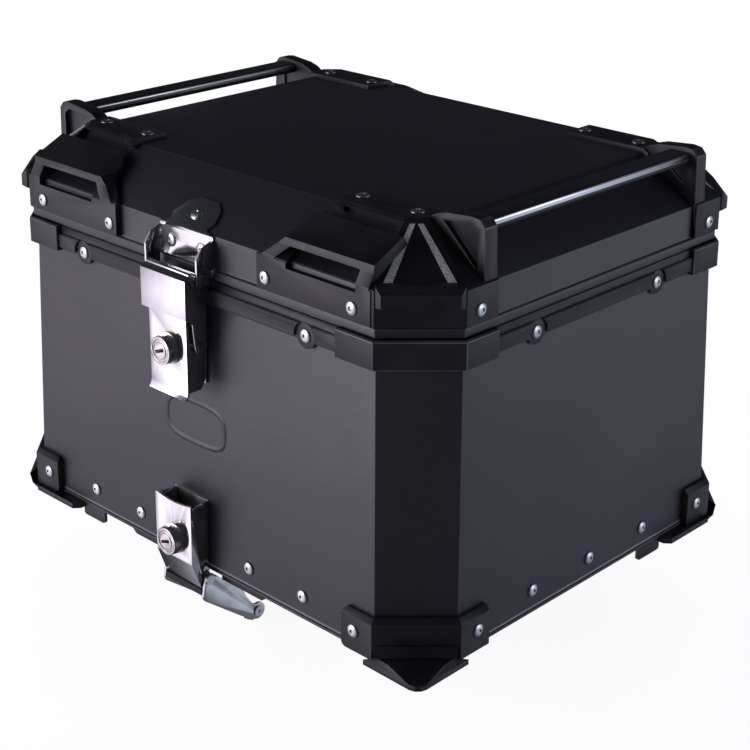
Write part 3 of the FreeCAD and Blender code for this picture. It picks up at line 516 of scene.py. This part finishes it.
def rivet_seats(node, count):
    """Centre and outward axis of each faceted head in a group; heads lie far apart."""
    mesh = frame["nodes"][node].data
    points = np.empty(len(mesh.vertices) * 3)
    mesh.vertices.foreach_get("co", points)
    points = np.unique(points.reshape(-1, 3).round(6), axis=0)
    seats = []
    for _ in range(count):
        near = np.linalg.norm(points - points[0], axis=1) < HEAD_REACH
        head, points = points[near], points[~near]
        middle = (head.max(axis=0) + head.min(axis=0)) / 2
        spread = np.linalg.svd(head - head.mean(axis=0))[2][2]
        outward = spread * np.sign(spread @ (middle - CASE_MIDDLE))
        low = ((head - middle) @ outward).min()
        seats.append((middle + outward * low, outward))
    return seats


def turn_rivets(node, count):
    """All heads of one group as one piece."""
    faces, points = [], []
    for number, (seat, outward) in enumerate(rivet_seats(node, count)):
        points.append(turned(HEAD, seat, outward).reshape(-1, 3))
        faces.append(grid_faces(len(HEAD), ROUND, True) + number * len(HEAD) * ROUND)
    piece = new_piece(node + "_turned", np.concatenate(points), np.concatenate(faces), RIVET,
                      body_of[node])
    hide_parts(node)
    return piece


RIVET_GROUPS = {"case_rivets_front": 8, "case_rivets_rear": 8, "case_rivets_right": 7,
                "case_rivets_left": 7, "lid_rivets_right": 10, "lid_rivets_left": 10,
                "hinge_rivets_body": 4, "hinge_rivets_lid": 4, "keeper_rivets": 3}
rivets = [turn_rivets(node, count) for node, count in RIVET_GROUPS.items()]
print("rivet heads", sum(RIVET_GROUPS.values()), "in", len(rivets), "pieces")

# %% [markdown]
# ## Pressed badge blank
# The front wall carries a shallow mark pressed from inside. Here it is a plain oval bead with no
# lettering. The bead is a ridge that follows an oval: the angle runs round it, and a cosine gives
# its height across, so it rises from the sheet with no step.

# %% Press the oval bead
BEAD_X, BEAD_Z = 3.8 * MM, 107.0 * MM
BEAD_STEPS, BEAD_ROWS = 96, 9
BEAD_SUNK, BEAD_THICK = 0.05 * MM, 0.4 * MM
WALL_AT_FOOT, WALL_LEAN = 175.0 * MM, 0.025
OVAL_POWER = 0.6


def oval_bead(wide, high, half, rise):
    """Closed ridge round an oval; across its width it rises by (1 + cos) / 2 and falls again."""
    turn = np.linspace(0.0, 2 * np.pi, BEAD_STEPS, endpoint=False)
    across = np.linspace(-1.0, 1.0, BEAD_ROWS)
    grow = across[:, None] * half
    x = BEAD_X + (wide + grow) * np.sign(np.cos(turn)) * np.abs(np.cos(turn)) ** OVAL_POWER
    z = BEAD_Z + (high + grow) * np.sign(np.sin(turn)) * np.abs(np.sin(turn)) ** OVAL_POWER
    wall = -(WALL_AT_FOOT - WALL_LEAN * z)
    proud = rise * (1 + np.cos(np.pi * across[:, None])) / 2 - BEAD_SUNK
    front = np.stack([x, wall - proud, z], axis=-1)
    back = front[[-1, 0]] + np.array([0.0, BEAD_THICK, 0.0])
    return np.concatenate([front, back, front[:1]])


bead = oval_bead(30 * MM, 15 * MM, 2.4 * MM, 0.75 * MM)
badge = new_piece("badge_blank", bead.reshape(-1, 3), grid_faces(len(bead), BEAD_STEPS, True),
                  SHELL, "case")
print(badge.name, "width mm", round((bead[..., 0].max() - bead[..., 0].min()) / MM, 1))

# %% [markdown]
# ## Finishes for the parts that keep their shape
# Pins, the gasket, the mat and the strips are right as they are, so only their material changes.

# %% Assign the remaining finishes
PLAIN = {"reflectors": FILM, "floor_mat": MAT, "rim_gasket": RUBBER, "keeper_pin": POLISHED,
         "hook_crossbar": SATIN, "hinge_pins": SATIN, "upper_pivot_pins": SATIN, "upper_link_pins": SATIN,
         "lower_pivot_pins": SATIN, "lower_link_pins": SATIN}
for node, material in PLAIN.items():
    skin = frame["nodes"][node].data.materials
    skin.clear()
    skin.append(material)
print("kept parts", len(PLAIN))

# %% [markdown]
# ## Studio
# The case stands in a pale sweep: a floor that curves up into a wall, so there is no horizon. A big
# soft panel from the front left lights the latch side, a weaker one from the right lights the long
# wall, and nothing hangs overhead, which leaves the lid almost black.


# %% Build the sweep and lights
SWEEP_FRONT, SWEEP_FLAT, SWEEP_BEND, SWEEP_TOP, SWEEP_HALF = -6.0, 2.2, 0.8, 5.0, 7.0
FLOOR_GAP = 0.6 * MM


def sweep_profile():
    """Distance back and height of the sweep: flat, a quarter circle, then upright."""
    bend = np.linspace(0.0, np.pi / 2, 20)
    curve = SWEEP_FLAT + SWEEP_BEND * np.sin(bend)
    back = np.concatenate([[SWEEP_FRONT, 0.0], curve, [SWEEP_FLAT + SWEEP_BEND]])
    rise = np.concatenate([[0.0, 0.0], SWEEP_BEND - SWEEP_BEND * np.cos(bend), [SWEEP_TOP]])
    return back, rise


def sweep(floor_z):
    back, rise = sweep_profile()
    side = np.linspace(-SWEEP_HALF, SWEEP_HALF, 12)
    away = np.array([-math.sin(AZIMUTH), math.cos(AZIMUTH)])
    along = np.array([math.cos(AZIMUTH), math.sin(AZIMUTH)])
    flat = back[:, None, None] * away + side[None, :, None] * along
    high = np.broadcast_to(rise[:, None, None] + floor_z, flat.shape[:2] + (1,))
    return np.concatenate([flat, high], axis=-1)


def pale_paint():
    f = Finish("pale_sweep", Roughness=0.9)
    cloud = f.noise(1.5, 3.0)
    f.set("Base Color", f.mix(cloud, (0.20, 0.20, 0.20, 1), (0.24, 0.24, 0.24, 1)))
    f.set("Emission Color", f.mix(cloud, (0.98, 0.98, 1.0, 1), (1.0, 1.0, 1.0, 1)))
    f.shader.inputs["Emission Strength"].default_value = 0.93
    return f.material


points = sweep(cad_box[0][2] - FLOOR_GAP)
floor_mesh = bpy.data.meshes.new("pale_sweep")
floor_mesh.from_pydata(points.reshape(-1, 3).tolist(), [], grid_faces(*points.shape[:2], False).tolist())
floor_mesh.polygons.foreach_set("use_smooth", np.ones(len(floor_mesh.polygons), dtype=bool))
floor_mesh.materials.append(pale_paint())
floor = bpy.data.objects.new("pale_sweep", floor_mesh)
bpy.context.scene.collection.objects.link(floor)
floor.visible_glossy = False
floor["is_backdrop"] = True


def panel(name, place, aim, size, power, tint):
    """A square softbox that faces a point."""
    light = bpy.data.lights.new(name, "AREA")
    light.size = size
    light.energy = power
    light.color = tint
    lamp = bpy.data.objects.new(name, light)
    lamp.location = place
    lamp.rotation_euler = (Vector(aim) - Vector(place)).to_track_quat("-Z", "Y").to_euler()
    bpy.context.scene.collection.objects.link(lamp)
    return lamp


panel("front_left_panel", (-1.0, -1.8, 0.5), (0.0, -0.15, 0.10), 1.2, 16.0, (0.94, 0.91, 1.0))
panel("right_panel", (2.0, 0.9, 0.5), (0.2, 0.0, 0.12), 1.2, 7.0, (0.86, 0.92, 1.0))
print("sweep", len(floor_mesh.vertices), "points, 2 panels")

# %% [markdown]
# ### What the case mirrors
# Dark glossy things are mostly a picture of the room. The room here is a dark one with two soft
# glows: a strong one low at the front left, which the latch side mirrors, and a weaker, cooler one
# low at the right. Each glow is a power of the cosine between a direction and the glow's centre. The
# sweep is left out of the mirror images, because a wall that gives light would make the sheet pale.


# %% Room with two glows
def glow(room, towards, tightness, strength):
    """Cosine lobe round one direction: wide for a low power, narrow for a high one."""
    inputs = {0: room.place, 1: towards}
    facing = room.make("ShaderNodeVectorMath", {"operation": "DOT_PRODUCT"}, inputs, 1)
    return facing.math("MAXIMUM", 0.0).math("POWER", tightness) * strength


class Room(Finish):
    """The world's own node tree, written with the same helpers as a finish."""

    def __init__(self, world):
        world.use_nodes = True
        self.tree = world.node_tree
        self.shader = self.tree.nodes["Background"]
        self.place = self.make("ShaderNodeTexCoord", {}, {}, "Generated")


ROOM_DARK = 0.03
world = bpy.data.worlds.new("dim_room")
room = Room(world)
latch_side = glow(room, (-0.66, -0.72, -0.20), 6.0, 1.7)
long_side = glow(room, (0.72, 0.66, -0.18), 8.0, 0.95)
room.set("Color", room.mix(latch_side.between(0.0, 0.5), (0.74, 0.82, 1.0, 1), (0.90, 0.84, 1.0, 1)))
room.set("Strength", latch_side + long_side + ROOM_DARK)
bpy.context.scene.world = world
bpy.context.scene.view_settings.view_transform = "Standard"
print("room glows 2, tone", bpy.context.scene.view_settings.view_transform)

# %% [markdown]
# ## The size against the engineering box
# The finished look must stay inside the engineering box, so the difference between the two boxes is
# printed, in millimetres.

# %% Print the difference of the boxes
as_lists = [[[float(v) for v in corner] for corner in pair] for pair in (cad_box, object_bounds())]
grown = [round((b - a) / MM, 2) for pair in zip(as_lists[0], as_lists[1]) for a, b in zip(*pair)]
print("visual minus engineering box, mm", grown)
